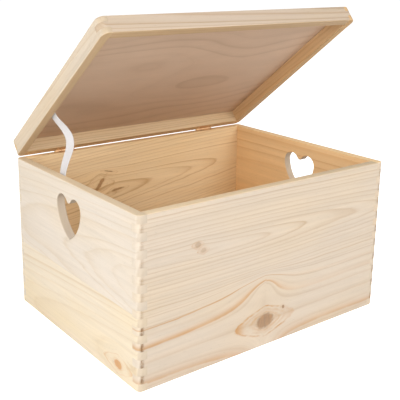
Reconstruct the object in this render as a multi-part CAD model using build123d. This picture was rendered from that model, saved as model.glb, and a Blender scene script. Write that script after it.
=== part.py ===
from build123d import *
import math
import os

os.makedirs("parts", exist_ok=True)

# A pine storage box with a hinged lid.  Millimetres, +Z up, +Y towards the hinges.
# The origin is the middle of the flat underside.  The lid stands open, as it is at joint value 0.

# Box body
BOX_LENGTH = 400.0
BOX_DEPTH = 300.0
WALL_HEIGHT = 210.0
BOARD_THICKNESS = 12.0
FINGER_COUNT = 21
GLUE_LINE_HEIGHT = 92.0
BOX_CORNER_RADIUS = 6.5
RIM_RADIUS = 1.2
FOOT_RADIUS = 1.5

# Plywood bottom, in a rabbet, held by wire staples
PLYWOOD_THICKNESS = 4.0
RABBET_WIDTH = 6.0
PLYWOOD_GAP = 0.25
BOTTOM_STAPLES_LONG_SIDE = 5
BOTTOM_STAPLES_SHORT_SIDE = 3
BOTTOM_STAPLE_INSET = 3.0
BOTTOM_STAPLE_SPACING_LONG = 80.0
BOTTOM_STAPLE_SPACING_SHORT = 90.0

# Heart finger holes.  The end walls are one piece used twice, turned round, so their hearts
# stand off centre in opposite directions.
HEART_OFF_CENTRE = 4.5
HEART_LOBE_RADIUS = 13.7
HEART_LOBE_OFFSET = 15.8
HEART_LOBE_HEIGHT = 177.5
HEART_CLEFT_HEIGHT = 182.6
HEART_TIP_HEIGHT = 136.0
HEART_LOBE_END_ANGLE = -8.0
HEART_TIP_RADIUS = 2.6
HEART_EDGE_RADIUS = 1.6

# Lid frame and its plywood panel
LID_GAP = 0.3
LID_HEIGHT = 22.0
LID_FINGER_COUNT = 3
LID_CORNER_RADIUS = 9.0
LID_EDGE_RADIUS = 1.2
LID_OPEN_ANGLE = 38.2

# Butt hinges, their leaves let in flush with the rear rim and the rear rail
HINGE_SPACING = 252.0
HINGE_LENGTH = 30.0
HINGE_AXIS_Y = BOX_DEPTH / 2 + 0.3
HINGE_AXIS_Z = WALL_HEIGHT + LID_GAP / 2
LEAF_THICKNESS = 0.8
LEAF_CORNER_RADIUS = 1.0
LEAF_SEAT_CLEARANCE = 0.1
LEAF_INNER_Y = BOX_DEPTH / 2 - 10.2
KNUCKLE_RADIUS = 1.6
MIDDLE_KNUCKLE_HALF = 5.0
KNUCKLE_END_GAP = 0.3
KNUCKLE_NOTCH_CLEARANCE = 0.35
PIN_RADIUS = 0.75
PIN_RUNNING_CLEARANCE = 0.05
PIN_HEAD_RADIUS = 1.2
PIN_HEAD_THICKNESS = 0.5

# Countersunk wood screws, two in each leaf
SCREW_SPACING = 19.0
SCREW_LINE_Y = BOX_DEPTH / 2 - 6.0
SCREW_HEAD_RADIUS = 1.9
SCREW_SHANK_RADIUS = 0.9
SCREW_HEAD_DEPTH = 1.0
SCREW_LENGTH = 11.0
SCREW_TIP_LENGTH = 2.5
SCREW_TIP_RADIUS = 0.15
SCREW_SLOT_WIDTH = 0.5
SCREW_SLOT_LENGTH = 2.4
SCREW_SLOT_DEPTH = 0.5
SCREW_HOLE_CLEARANCE = 0.03

# Woven stay ribbon between the left wall and the left lid rail
RIBBON_WIDTH = 13.0
RIBBON_THICKNESS = 0.8
RIBBON_RIM_POINT = Vector(-BOX_LENGTH / 2 + BOARD_THICKNESS, 43.0, 209.0)
RIBBON_LID_POINT = Vector(-BOX_LENGTH / 2 + BOARD_THICKNESS, 64.0, 282.0)
# Its route: distance off the wall, and distance along the line from the rim to the lid.
RIBBON_ROUTE = [
    (0.7, -24.0),
    (0.7, -8.0),
    (3.5, 4.0),
    (10.0, 17.0),
    (18.5, 31.0),
    (20.5, 44.0),
    (15.0, 57.0),
    (4.5, 70.5),
    (0.7, 79.5),
    (0.7, 88.5),
]
RIBBON_BEND_SHARE = 0.45
RIBBON_WALL_STAPLE_AT = -17.0
RIBBON_LID_STAPLE_AT = 83.5
RIBBON_HOLE_WIDTH = 1.5

# Wire staples
STAPLE_CROWN = 10.0
STAPLE_WIRE = 0.7
STAPLE_LEG = 8.0
RIBBON_STAPLE_STANDOFF = 0.3

# How near a plane an edge counts as lying in it, and how far cutting tools reach past the wood
IN_PLANE = 0.001
OVERRUN = 1.0

HALF_LENGTH = BOX_LENGTH / 2
HALF_DEPTH = BOX_DEPTH / 2
INNER_HALF_LENGTH = HALF_LENGTH - BOARD_THICKNESS
INNER_HALF_DEPTH = HALF_DEPTH - BOARD_THICKNESS
LID_BOTTOM = WALL_HEIGHT + LID_GAP
LID_TOP = LID_BOTTOM + LID_HEIGHT
HINGE_AXIS = Axis((0, HINGE_AXIS_Y, HINGE_AXIS_Z), (-1, 0, 0))


def block(x_range, y_range, z_range):
    """A box between two opposite corners."""
    size = [abs(r[1] - r[0]) for r in (x_range, y_range, z_range)]
    centre = [(r[0] + r[1]) / 2 for r in (x_range, y_range, z_range)]
    return Pos(*centre) * Box(*size)


def edges_at(shape, axis, value):
    """The edges that lie wholly in one plane across an axis."""
    return shape.edges().filter_by_position(axis, value - IN_PLANE, value + IN_PLANE)


def outer_block(z_range, corner_radius):
    """The outside of the box or of the lid, its upright corners rounded."""
    body = block((-HALF_LENGTH, HALF_LENGTH), (-HALF_DEPTH, HALF_DEPTH), z_range)
    return fillet(body.edges().filter_by(Axis.Z), corner_radius)


def heart_outline():
    """A heart in the YZ plane: two round lobes, a rounded cleft, full sides and a rounded tip."""
    radius, offset = HEART_LOBE_RADIUS, HEART_LOBE_OFFSET
    rise = HEART_CLEFT_HEIGHT - HEART_LOBE_HEIGHT
    cleft_radius = (offset ** 2 + rise ** 2 - radius ** 2) / (2 * (radius - rise))
    share = radius / (radius + cleft_radius)
    touch = (offset * (1 - share), HEART_LOBE_HEIGHT + (rise + cleft_radius) * share)
    end = math.radians(HEART_LOBE_END_ANGLE)
    side = (offset + radius * math.cos(end), HEART_LOBE_HEIGHT + radius * math.sin(end))
    cleft = TangentArc((0, HEART_CLEFT_HEIGHT), touch, tangent=(1, 0))
    lobe = ThreePointArc(touch, (offset, HEART_LOBE_HEIGHT + radius), side)
    flank = TangentArc(side, (0, HEART_TIP_HEIGHT), tangent=(math.sin(end), -math.cos(end)))
    half = [cleft.edge(), lobe.edge(), flank.edge()]
    flat = make_face(half + [edge.mirror(Plane.YZ) for edge in half])
    tip = flat.vertices().sort_by(Axis.Y)[0]
    return Plane.YZ * fillet(tip, HEART_TIP_RADIUS)


def cut_hearts(shell):
    """Cuts both heart holes and rounds their edges over."""
    heart = heart_outline()
    for side in (-1, 1):
        middle = Pos(side * (HALF_LENGTH - BOARD_THICKNESS / 2), -side * HEART_OFF_CENTRE, 0)
        shell -= extrude(middle * heart, BOARD_THICKNESS, both=True)
    heart_edges = ShapeList()
    for x in (-HALF_LENGTH, -INNER_HALF_LENGTH, INNER_HALF_LENGTH, HALF_LENGTH):
        flat_edges = edges_at(shell, Axis.X, x)
        heart_edges += flat_edges.filter_by(
            lambda edge: abs(edge.center().Y) < HALF_DEPTH / 2
            and GLUE_LINE_HEIGHT < edge.center().Z < WALL_HEIGHT - HEART_LOBE_RADIUS)
    return fillet(heart_edges, HEART_EDGE_RADIUS)


def box_shell():
    """The four walls as one glued-up ring, before it is divided into boards."""
    shell = outer_block((0, WALL_HEIGHT), BOX_CORNER_RADIUS)
    shell = fillet(edges_at(shell, Axis.Z, 0), FOOT_RADIUS)
    shell -= block((-INNER_HALF_LENGTH, INNER_HALF_LENGTH),
                   (-INNER_HALF_DEPTH, INNER_HALF_DEPTH), (-OVERRUN, WALL_HEIGHT + OVERRUN))
    shell = fillet(edges_at(shell, Axis.Z, WALL_HEIGHT), RIM_RADIUS)
    shell = cut_hearts(shell)
    rabbet = block((-INNER_HALF_LENGTH - RABBET_WIDTH, INNER_HALF_LENGTH + RABBET_WIDTH),
                   (-INNER_HALF_DEPTH - RABBET_WIDTH, INNER_HALF_DEPTH + RABBET_WIDTH),
                   (-OVERRUN, PLYWOOD_THICKNESS))
    return shell - rabbet


def lid_ring():
    """The lid's four rails as one glued-up ring, closed on the box, with the panel's rabbet."""
    ring = outer_block((LID_BOTTOM, LID_TOP), LID_CORNER_RADIUS)
    ring -= block((-INNER_HALF_LENGTH, INNER_HALF_LENGTH),
                  (-INNER_HALF_DEPTH, INNER_HALF_DEPTH),
                  (LID_BOTTOM - OVERRUN, LID_TOP + OVERRUN))
    ring = fillet(edges_at(ring, Axis.Z, LID_BOTTOM), LID_EDGE_RADIUS)
    top_edges = edges_at(ring, Axis.Z, LID_TOP)
    outside = top_edges.filter_by(
        lambda edge: abs(edge.center().X) > INNER_HALF_LENGTH + OVERRUN
        or abs(edge.center().Y) > INNER_HALF_DEPTH + OVERRUN)
    ring = fillet(outside, LID_EDGE_RADIUS)
    rabbet = block((-INNER_HALF_LENGTH - RABBET_WIDTH, INNER_HALF_LENGTH + RABBET_WIDTH),
                   (-INNER_HALF_DEPTH - RABBET_WIDTH, INNER_HALF_DEPTH + RABBET_WIDTH),
                   (LID_TOP - PLYWOOD_THICKNESS, LID_TOP + OVERRUN))
    return ring - rabbet


def end_board(ring, side, bottom, height, count):
    """A board or rail along Y, with the first, third, fifth... finger at each corner."""
    x_range = sorted((side * INNER_HALF_LENGTH, side * (HALF_LENGTH + OVERRUN)))
    top = bottom + height
    space = block(x_range, (-INNER_HALF_DEPTH, INNER_HALF_DEPTH), (bottom, top))
    pitch = height / count
    for i in range(0, count, 2):
        low = bottom + i * pitch
        space += block(x_range, (-HALF_DEPTH - OVERRUN, HALF_DEPTH + OVERRUN), (low, low + pitch))
    return ring & space


def long_board(ring, side, bottom, height, count):
    """A board or rail along X, with the fingers between those of the end boards."""
    y_range = sorted((side * INNER_HALF_DEPTH, side * (HALF_DEPTH + OVERRUN)))
    top = bottom + height
    space = block((-INNER_HALF_LENGTH, INNER_HALF_LENGTH), y_range, (bottom, top))
    pitch = height / count
    for i in range(1, count, 2):
        low = bottom + i * pitch
        space += block((-HALF_LENGTH - OVERRUN, HALF_LENGTH + OVERRUN), y_range, (low, low + pitch))
    return ring & space


def below(board, height):
    return split(board, Plane.XY.offset(height), keep=Keep.BOTTOM)


def above(board, height):
    return split(board, Plane.XY.offset(height), keep=Keep.TOP)


def plywood_panel(low):
    """A plywood sheet, a little smaller than its rabbet."""
    reach = RABBET_WIDTH - PLYWOOD_GAP
    return block((-INNER_HALF_LENGTH - reach, INNER_HALF_LENGTH + reach),
                 (-INNER_HALF_DEPTH - reach, INNER_HALF_DEPTH + reach),
                 (low, low + PLYWOOD_THICKNESS))


def knuckle(x_from, x_to, radius):
    centre = Pos((x_from + x_to) / 2, HINGE_AXIS_Y, HINGE_AXIS_Z)
    return centre * Rot(0, 90, 0) * Cylinder(radius, abs(x_to - x_from))


def hinge_leaf(x, fixed):
    """One leaf: the fixed leaf has the outer knuckles, the moving leaf the middle one."""
    low = WALL_HEIGHT - LEAF_THICKNESS if fixed else LID_BOTTOM
    half = HINGE_LENGTH / 2
    plate = block((x - half, x + half), (LEAF_INNER_Y, HINGE_AXIS_Y), (low, low + LEAF_THICKNESS))
    inner_corners = plate.edges().filter_by(Axis.Z).sort_by(Axis.Y)[:2]
    plate = fillet(inner_corners, LEAF_CORNER_RADIUS)
    inner = MIDDLE_KNUCKLE_HALF
    outer = MIDDLE_KNUCKLE_HALF + KNUCKLE_END_GAP
    past_end = half + OVERRUN
    notch_radius = KNUCKLE_RADIUS + KNUCKLE_NOTCH_CLEARANCE
    if fixed:
        notch = knuckle(x - outer, x + outer, notch_radius)
        rolls = [knuckle(x - half, x - outer, KNUCKLE_RADIUS),
                 knuckle(x + outer, x + half, KNUCKLE_RADIUS)]
        bore = PIN_RADIUS
    else:
        notch = [knuckle(x - past_end, x - inner, notch_radius),
                 knuckle(x + inner, x + past_end, notch_radius)]
        rolls = knuckle(x - inner, x + inner, KNUCKLE_RADIUS)
        bore = PIN_RADIUS + PIN_RUNNING_CLEARANCE
    leaf = plate - notch + rolls - knuckle(x - past_end, x + past_end, bore)
    for screw_x in (x - SCREW_SPACING / 2, x + SCREW_SPACING / 2):
        leaf -= screw_blank(screw_x, fixed, SCREW_HOLE_CLEARANCE)
    return leaf


def hinge_seats(fixed):
    """The shallow seats that one side's leaves are let into, with a groove for the knuckles."""
    if fixed:
        z_range = (WALL_HEIGHT - LEAF_THICKNESS, WALL_HEIGHT + OVERRUN)
    else:
        z_range = (LID_BOTTOM - OVERRUN, LID_BOTTOM + LEAF_THICKNESS)
    half = HINGE_LENGTH / 2 + LEAF_SEAT_CLEARANCE
    groove_half = half + PIN_HEAD_THICKNESS
    seats = []
    for x in (-HINGE_SPACING / 2, HINGE_SPACING / 2):
        seats.append(block((x - half, x + half),
                           (LEAF_INNER_Y - LEAF_SEAT_CLEARANCE, HALF_DEPTH + OVERRUN), z_range))
        seats.append(knuckle(x - groove_half, x + groove_half,
                             KNUCKLE_RADIUS + KNUCKLE_NOTCH_CLEARANCE))
    return seats


def hinge_pin(x):
    """A straight pin with a small peened head at each end."""
    half = HINGE_LENGTH / 2
    pin = knuckle(x - half, x + half, PIN_RADIUS)
    for side in (-1, 1):
        pin += knuckle(x + side * half, x + side * (half + PIN_HEAD_THICKNESS), PIN_HEAD_RADIUS)
    return pin


def screw_blank(x, fixed, extra=0.0):
    """A countersunk wood screw without its slot, flush with its leaf; extra widens it to a hole."""
    shank_radius = SCREW_SHANK_RADIUS + extra
    head_radius = SCREW_HEAD_RADIUS + extra
    tip_radius = SCREW_TIP_RADIUS + extra
    head = Pos(0, 0, -SCREW_HEAD_DEPTH / 2) * Cone(shank_radius, head_radius, SCREW_HEAD_DEPTH)
    shank_length = SCREW_LENGTH - SCREW_HEAD_DEPTH - SCREW_TIP_LENGTH
    shank = Pos(0, 0, -SCREW_HEAD_DEPTH - shank_length / 2) * Cylinder(shank_radius, shank_length)
    tip = Pos(0, 0, -SCREW_LENGTH + SCREW_TIP_LENGTH / 2) * Cone(tip_radius, shank_radius, SCREW_TIP_LENGTH)
    screw = head + shank + tip
    if fixed:
        return Pos(x, SCREW_LINE_Y, WALL_HEIGHT) * screw
    return Pos(x, SCREW_LINE_Y, LID_BOTTOM) * Rot(180, 0, 0) * screw


def hinge_screw(x, fixed):
    """The screw with its cross slot."""
    head_z = WALL_HEIGHT if fixed else LID_BOTTOM
    into = -1 if fixed else 1
    z_range = (head_z - into * OVERRUN, head_z + into * SCREW_SLOT_DEPTH)
    arm = SCREW_SLOT_LENGTH / 2
    half = SCREW_SLOT_WIDTH / 2
    slot = block((x - arm, x + arm), (SCREW_LINE_Y - half, SCREW_LINE_Y + half), z_range)
    slot += block((x - half, x + half), (SCREW_LINE_Y - arm, SCREW_LINE_Y + arm), z_range)
    return screw_blank(x, fixed) - slot


def screw_places():
    return [hinge_x + side * SCREW_SPACING / 2
            for hinge_x in (-HINGE_SPACING / 2, HINGE_SPACING / 2) for side in (-1, 1)]


def staple(plane):
    """A wire staple: crown along the plane's X, its underside at z = 0, legs driven along -Z."""
    half = STAPLE_CROWN / 2
    wire = STAPLE_WIRE
    crown = block((-half, half), (-wire / 2, wire / 2), (0, wire))
    legs = block((-half, -half + wire), (-wire / 2, wire / 2), (-STAPLE_LEG, 0))
    legs += block((half - wire, half), (-wire / 2, wire / 2), (-STAPLE_LEG, 0))
    return plane * (crown + legs)


def bottom_staple_planes():
    """Places of the staples that hold the bottom, their crowns sunk flush in its underside."""
    z = STAPLE_WIRE
    planes = []
    y = INNER_HALF_DEPTH + BOTTOM_STAPLE_INSET
    for i in range(BOTTOM_STAPLES_LONG_SIDE):
        x = (i - (BOTTOM_STAPLES_LONG_SIDE - 1) / 2) * BOTTOM_STAPLE_SPACING_LONG
        planes += [Plane((x, side * y, z), x_dir=(1, 0, 0), z_dir=(0, 0, -1)) for side in (-1, 1)]
    x = INNER_HALF_LENGTH + BOTTOM_STAPLE_INSET
    for i in range(BOTTOM_STAPLES_SHORT_SIDE):
        y = (i - (BOTTOM_STAPLES_SHORT_SIDE - 1) / 2) * BOTTOM_STAPLE_SPACING_SHORT
        planes += [Plane((side * x, y, z), x_dir=(0, 1, 0), z_dir=(0, 0, -1)) for side in (-1, 1)]
    return planes


# The ribbon lies in the plane that holds the X direction, the rim point and the lid point.
RIBBON_ALONG = (RIBBON_LID_POINT - RIBBON_RIM_POINT).normalized()
RIBBON_ACROSS = Vector(1, 0, 0).cross(RIBBON_ALONG)


def ribbon_point(off_wall, along):
    return RIBBON_RIM_POINT + Vector(off_wall, 0, 0) + RIBBON_ALONG * along


def ribbon_bend_radii(points):
    """Each bend is as large as its two straight runs allow."""
    radii = []
    for before, corner, after in zip(points, points[1:], points[2:]):
        run_in = corner - before
        run_out = after - corner
        half_turn = math.radians(run_in.get_angle(run_out)) / 2
        radii.append(RIBBON_BEND_SHARE * min(run_in.length, run_out.length) / math.tan(half_turn))
    return radii


def ribbon_staple_plane(off_wall, along):
    """A staple's place on the ribbon: crown across the ribbon, legs driven into the wood."""
    return Plane(ribbon_point(off_wall, along), x_dir=RIBBON_ACROSS, z_dir=(1, 0, 0))


def ribbon_staple(along):
    stand = RIBBON_ROUTE[0][0] + RIBBON_THICKNESS / 2 + RIBBON_STAPLE_STANDOFF
    return staple(ribbon_staple_plane(stand, along))


def stay_ribbon():
    """The flat ribbon, with a small hole for each leg of its two staples."""
    points = [ribbon_point(*p) for p in RIBBON_ROUTE]
    radii = ribbon_bend_radii(points)
    path = FilletPolyline(*points, radius=radii)
    start = Plane(points[0], x_dir=RIBBON_ACROSS, z_dir=RIBBON_ALONG)
    ribbon = sweep(start * Rectangle(RIBBON_WIDTH, RIBBON_THICKNESS), path=path)
    leg = STAPLE_CROWN / 2 - STAPLE_WIRE / 2
    for along in (RIBBON_WALL_STAPLE_AT, RIBBON_LID_STAPLE_AT):
        for side in (-leg, leg):
            hole = Box(RIBBON_HOLE_WIDTH, RIBBON_HOLE_WIDTH, 4 * RIBBON_THICKNESS)
            ribbon -= ribbon_staple_plane(RIBBON_ROUTE[0][0], along) * Pos(side, 0, 0) * hole
    return ribbon


def group(shapes):
    """Several separate solids in one node."""
    solids = []
    for shape in shapes:
        solids += shape.solids()
    return Compound(solids)


def opened(shape):
    """Swings a lid piece, solid by solid, from closed to its open rest place."""
    return group(solid.rotate(HINGE_AXIS, LID_OPEN_ANGLE) for solid in shape.solids())


def swung_closed(shape):
    """Where a piece placed on the open lid is when the lid is closed."""
    return shape.rotate(HINGE_AXIS, -LID_OPEN_ANGLE)


def box_pieces():
    shell = box_shell()
    staples = group(staple(plane) for plane in bottom_staple_planes())
    screws = group(hinge_screw(x, True) for x in screw_places())
    pilot_holes = [screw_blank(x, True, SCREW_HOLE_CLEARANCE) for x in screw_places()]
    wall_staple = ribbon_staple(RIBBON_WALL_STAPLE_AT)
    pieces = {
        "front_wall": long_board(shell, -1, 0, WALL_HEIGHT, FINGER_COUNT),
        "rear_wall": long_board(shell, 1, 0, WALL_HEIGHT, FINGER_COUNT) - pilot_holes - hinge_seats(True),
        "bottom_panel": plywood_panel(0),
        "bottom_staples": staples,
        "hinge_screws_box": screws,
        "ribbon_staple_wall": wall_staple,
        "stay_ribbon": stay_ribbon(),
    }
    for name, side in (("left", -1), ("right", 1)):
        wall = end_board(shell, side, 0, WALL_HEIGHT, FINGER_COUNT)
        if side < 0:
            wall -= wall_staple
        pieces[name + "_wall_upper_board"] = above(wall, GLUE_LINE_HEIGHT)
        pieces[name + "_wall_lower_board"] = below(wall, GLUE_LINE_HEIGHT)
        hinge_x = side * HINGE_SPACING / 2
        pieces[name + "_hinge_fixed_leaf"] = hinge_leaf(hinge_x, True)
        pieces[name + "_hinge_pin"] = hinge_pin(hinge_x)
    for name in ("front_wall", "rear_wall", "left_wall_lower_board", "right_wall_lower_board",
                 "bottom_panel"):
        pieces[name] -= staples
    return pieces


def lid_pieces():
    ring = lid_ring()
    pilot_holes = [screw_blank(x, False, SCREW_HOLE_CLEARANCE) for x in screw_places()]
    lid_staple = swung_closed(ribbon_staple(RIBBON_LID_STAPLE_AT))
    rear_rail = long_board(ring, 1, LID_BOTTOM, LID_HEIGHT, LID_FINGER_COUNT)
    pieces = {
        "lid_front_rail": long_board(ring, -1, LID_BOTTOM, LID_HEIGHT, LID_FINGER_COUNT),
        "lid_rear_rail": rear_rail - pilot_holes - hinge_seats(False),
        "lid_left_rail": end_board(ring, -1, LID_BOTTOM, LID_HEIGHT, LID_FINGER_COUNT) - lid_staple,
        "lid_right_rail": end_board(ring, 1, LID_BOTTOM, LID_HEIGHT, LID_FINGER_COUNT),
        "lid_panel": plywood_panel(LID_TOP - PLYWOOD_THICKNESS),
        "hinge_screws_lid": group(hinge_screw(x, False) for x in screw_places()),
        "ribbon_staple_lid": lid_staple,
    }
    for name, side in (("left", -1), ("right", 1)):
        pieces[name + "_hinge_moving_leaf"] = hinge_leaf(side * HINGE_SPACING / 2, False)
    return {name: opened(shape) for name, shape in pieces.items()}


for node, shape in {**box_pieces(), **lid_pieces()}.items():
    export_step(shape, f"parts/{node}.step")
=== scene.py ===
import bpy
import bmesh
import math
from mathutils import Matrix, Vector


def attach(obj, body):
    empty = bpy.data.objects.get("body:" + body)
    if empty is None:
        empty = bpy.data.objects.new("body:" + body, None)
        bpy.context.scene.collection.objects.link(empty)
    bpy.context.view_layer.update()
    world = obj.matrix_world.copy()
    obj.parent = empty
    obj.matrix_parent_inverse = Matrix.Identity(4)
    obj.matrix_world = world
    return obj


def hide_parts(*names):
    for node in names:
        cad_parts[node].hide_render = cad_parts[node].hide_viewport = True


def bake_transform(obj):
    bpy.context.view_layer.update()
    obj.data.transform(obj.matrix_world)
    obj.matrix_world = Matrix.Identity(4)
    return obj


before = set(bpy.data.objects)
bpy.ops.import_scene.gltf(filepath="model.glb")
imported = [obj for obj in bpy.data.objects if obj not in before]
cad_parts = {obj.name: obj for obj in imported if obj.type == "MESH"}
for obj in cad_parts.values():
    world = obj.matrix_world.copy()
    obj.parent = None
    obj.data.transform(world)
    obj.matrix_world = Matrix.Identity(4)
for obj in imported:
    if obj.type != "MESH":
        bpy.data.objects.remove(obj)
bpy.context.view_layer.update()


# ---------------------------------------------------------------------------------------------
# Viewpoint.  A low three-quarter look at the front left corner, from a little above the rim,
# so that the left wall, the long front wall and the inside of the open lid all show.
eye_place = Vector((-0.6110, -0.7718, 0.4669))
eye_turn, eye_dip, eye_roll = math.radians(-36.42), math.radians(14.58), math.radians(0.518)
ahead = Vector((math.sin(-eye_turn) * math.cos(eye_dip),
                math.cos(-eye_turn) * math.cos(eye_dip), -math.sin(eye_dip)))
level = ahead.cross(Vector((0, 0, 1))).normalized()
upright = level.cross(ahead)
right = level * math.cos(eye_roll) + upright * math.sin(eye_roll)
up = upright * math.cos(eye_roll) - level * math.sin(eye_roll)

lens = bpy.data.cameras.new("studio_camera")
lens.sensor_width = 36.0
lens.lens = 67.22
lens.shift_x = 0.0627
lens.shift_y = -0.1038
lens.clip_start = 0.02
camera = bpy.data.objects.new("studio_camera", lens)
camera.matrix_world = Matrix((
    (right.x, up.x, -ahead.x, eye_place.x),
    (right.y, up.y, -ahead.y, eye_place.y),
    (right.z, up.z, -ahead.z, eye_place.z),
    (0, 0, 0, 1)))
bpy.context.scene.collection.objects.link(camera)
bpy.context.scene.camera = camera


# ---------------------------------------------------------------------------------------------
# Stay ribbon.  A flat white grosgrain tape, 13 mm wide, stapled inside the left wall below the
# rim and inside the left lid rail.  It is slack at this opening, so it bows into the box and
# its middle turns a little.  The ribs are weft threads laid straight across the tape.
tape_width = 0.013
tape_thickness = 0.0008
tape_rib_pitch = 0.00105
tape_rib_rise = 0.00006
tape_turn = math.radians(24)
tape_across = Vector((0.0, -0.96102, 0.27646))
tape_up = Vector((0.0, 0.27646, 0.96102))
tape_at_rim = Vector((-0.188, 0.043, 0.209))
tape_route = [
    (-0.1873, 0.0364, 0.1859), (-0.1873, 0.0408, 0.2013), (-0.1845, 0.0441, 0.2128),
    (-0.1780, 0.0477, 0.2253), (-0.1695, 0.0516, 0.2388), (-0.1675, 0.0552, 0.2513),
    (-0.1730, 0.0588, 0.2638), (-0.1835, 0.0625, 0.2768), (-0.1873, 0.0650, 0.2854),
    (-0.1873, 0.0675, 0.2941)]


def smooth_line(name, points):
    """The points along one smooth open spline whose control points are given."""
    line = bpy.data.curves.new(name, "CURVE")
    line.dimensions = "3D"
    spline = line.splines.new("NURBS")
    spline.points.add(len(points) - 1)
    for knot, place in zip(spline.points, points):
        knot.co = (*place, 1.0)
    spline.order_u = 3
    spline.use_endpoint_u = True
    spline.resolution_u = 16
    holder = bpy.data.objects.new(name, line)
    bpy.context.scene.collection.objects.link(holder)
    bpy.context.view_layer.update()
    traced = bpy.data.meshes.new_from_object(holder)
    places = [v.co.copy() for v in traced.vertices]
    bpy.data.objects.remove(holder)
    bpy.data.meshes.remove(traced)
    return places


def even_steps(places, step):
    """Equal steps along a line, each as (place, direction, distance from the start)."""
    runs = [(b - a).length for a, b in zip(places, places[1:])]
    total = sum(runs)
    count = max(2, round(total / step))
    steps, index, passed = [], 0, 0.0
    for i in range(count + 1):
        reach = total * i / count
        while index < len(runs) - 1 and passed + runs[index] < reach:
            passed += runs[index]
            index += 1
        share = min(1.0, (reach - passed) / runs[index])
        here = places[index].lerp(places[index + 1], share)
        before = places[max(index - 1, 0)]
        after = places[min(index + 2, len(places) - 1)]
        steps.append((here, (after - before).normalized(), reach))
    return steps, total


def tape_section():
    """Half-width and half-thickness shares round the tape, edges rounded by the selvedge."""
    flat = [-0.965, -0.84, -0.6, -0.3, 0.0, 0.3, 0.6, 0.84, 0.965]
    lift = [1.0, 0.92, 0.94, 0.96, 0.97, 0.96, 0.94, 0.92, 1.0]
    top = list(zip(flat, lift))
    return top + [(1.0, 0.0)] + [(a, -b) for a, b in reversed(top)] + [(-1.0, 0.0)]


def weave_tape(name, steps, total):
    section = tape_section()
    mesh = bpy.data.meshes.new(name)
    work = bmesh.new()
    uv = work.loops.layers.uv.new("tape")
    rings = []
    for place, forward, reach in steps:
        share = reach / total
        turn = tape_turn * math.sin(math.pi * share) ** 2
        side = (tape_across - forward * tape_across.dot(forward)).normalized()
        side = Matrix.Rotation(turn, 3, forward) @ side
        face = forward.cross(side)
        rib = tape_rib_rise * math.cos(2 * math.pi * reach / tape_rib_pitch)
        ring = []
        for a, b in section:
            half = tape_thickness / 2 - tape_rib_rise + rib * (abs(b) > 0)
            edge = tape_width / 2 - tape_rib_rise + rib * (b == 0)
            ring.append(work.verts.new(place + side * a * edge + face * b * half))
        rings.append((ring, reach))
    count = len(section)
    for (low, low_reach), (high, high_reach) in zip(rings, rings[1:]):
        for i in range(count):
            j = (i + 1) % count
            face = work.faces.new((low[i], low[j], high[j], high[i]))
            face.smooth = True
            for loop, u, v in zip(face.loops, (i, j, j, i), (low_reach,) * 2 + (high_reach,) * 2):
                loop[uv].uv = (section[u][0] * tape_width / 2, v)
    work.faces.new(list(reversed(rings[0][0])))
    work.faces.new(rings[-1][0])
    bmesh.ops.recalc_face_normals(work, faces=work.faces)
    work.to_mesh(mesh)
    work.free()
    tape = bpy.data.objects.new(name, mesh)
    bpy.context.scene.collection.objects.link(tape)
    return tape


def plug(tree, socket, value):
    """Sets a socket to a number or a linear colour, or feeds it from another node's output."""
    if isinstance(value, (int, float)):
        socket.default_value = value
    elif isinstance(value, tuple):
        socket.default_value = (*value, 1.0)
    else:
        tree.links.new(value, socket)


def work_out(tree, operation, *values, clamp=False):
    """One sum in a node tree.  Each value is a number or another node's output."""
    node = tree.nodes.new("ShaderNodeMath")
    node.operation = operation
    node.use_clamp = clamp
    for socket, value in zip(node.inputs, values):
        plug(tree, socket, value)
    return node.outputs[0]


def times(tree, first, second, clamp=False):
    return work_out(tree, "MULTIPLY", first, second, clamp=clamp)


def plus(tree, first, second):
    return work_out(tree, "ADD", first, second)


def minus(tree, first, second, clamp=False):
    return work_out(tree, "SUBTRACT", first, second, clamp=clamp)


def scaled(tree, value, by, start, clamp=False):
    """A value multiplied by one number, then added to another."""
    return work_out(tree, "MULTIPLY_ADD", value, by, start, clamp=clamp)


def blend_colours(tree, share, first, second, how="MIX"):
    """Mixes two colours.  Each is a linear colour or another node's output."""
    node = tree.nodes.new("ShaderNodeMix")
    node.data_type = "RGBA"
    node.blend_type = how
    for socket, value in ((node.inputs[0], share), (node.inputs[6], first), (node.inputs[7], second)):
        plug(tree, socket, value)
    return node.outputs[2]


def join_axes(tree, x, y, z):
    node = tree.nodes.new("ShaderNodeCombineXYZ")
    for socket, value in zip(node.inputs, (x, y, z)):
        plug(tree, socket, value)
    return node.outputs[0]


def cloudy(tree, place, detail=2.0, rough=0.5):
    """Soft noise from 0 to 1 at a place that is already scaled."""
    node = tree.nodes.new("ShaderNodeTexNoise")
    node.inputs["Scale"].default_value = 1.0
    node.inputs["Detail"].default_value = detail
    node.inputs["Roughness"].default_value = rough
    tree.links.new(place, node.inputs["Vector"])
    return node.outputs[0]


def tone(red, green, blue):
    """A linear colour from ordinary 0 to 255 values."""
    return tuple((c / 255 / 12.92) if c <= 10 else ((c / 255 + 0.055) / 1.055) ** 2.4
                 for c in (red, green, blue))


def new_finish(name):
    """An empty material with its surface shader."""
    material = bpy.data.materials.new(name)
    material.use_nodes = True
    tree = material.node_tree
    shader = next(n for n in tree.nodes if n.type == "BSDF_PRINCIPLED")
    return material, tree, shader


def raise_surface(tree, shader, height, depth):
    """Feeds a height, in metres times its depth, to the shader as a bump."""
    bump = tree.nodes.new("ShaderNodeBump")
    bump.inputs["Strength"].default_value = 1.0
    bump.inputs["Distance"].default_value = depth
    tree.links.new(height, bump.inputs["Height"])
    tree.links.new(bump.outputs[0], shader.inputs["Normal"])


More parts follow.
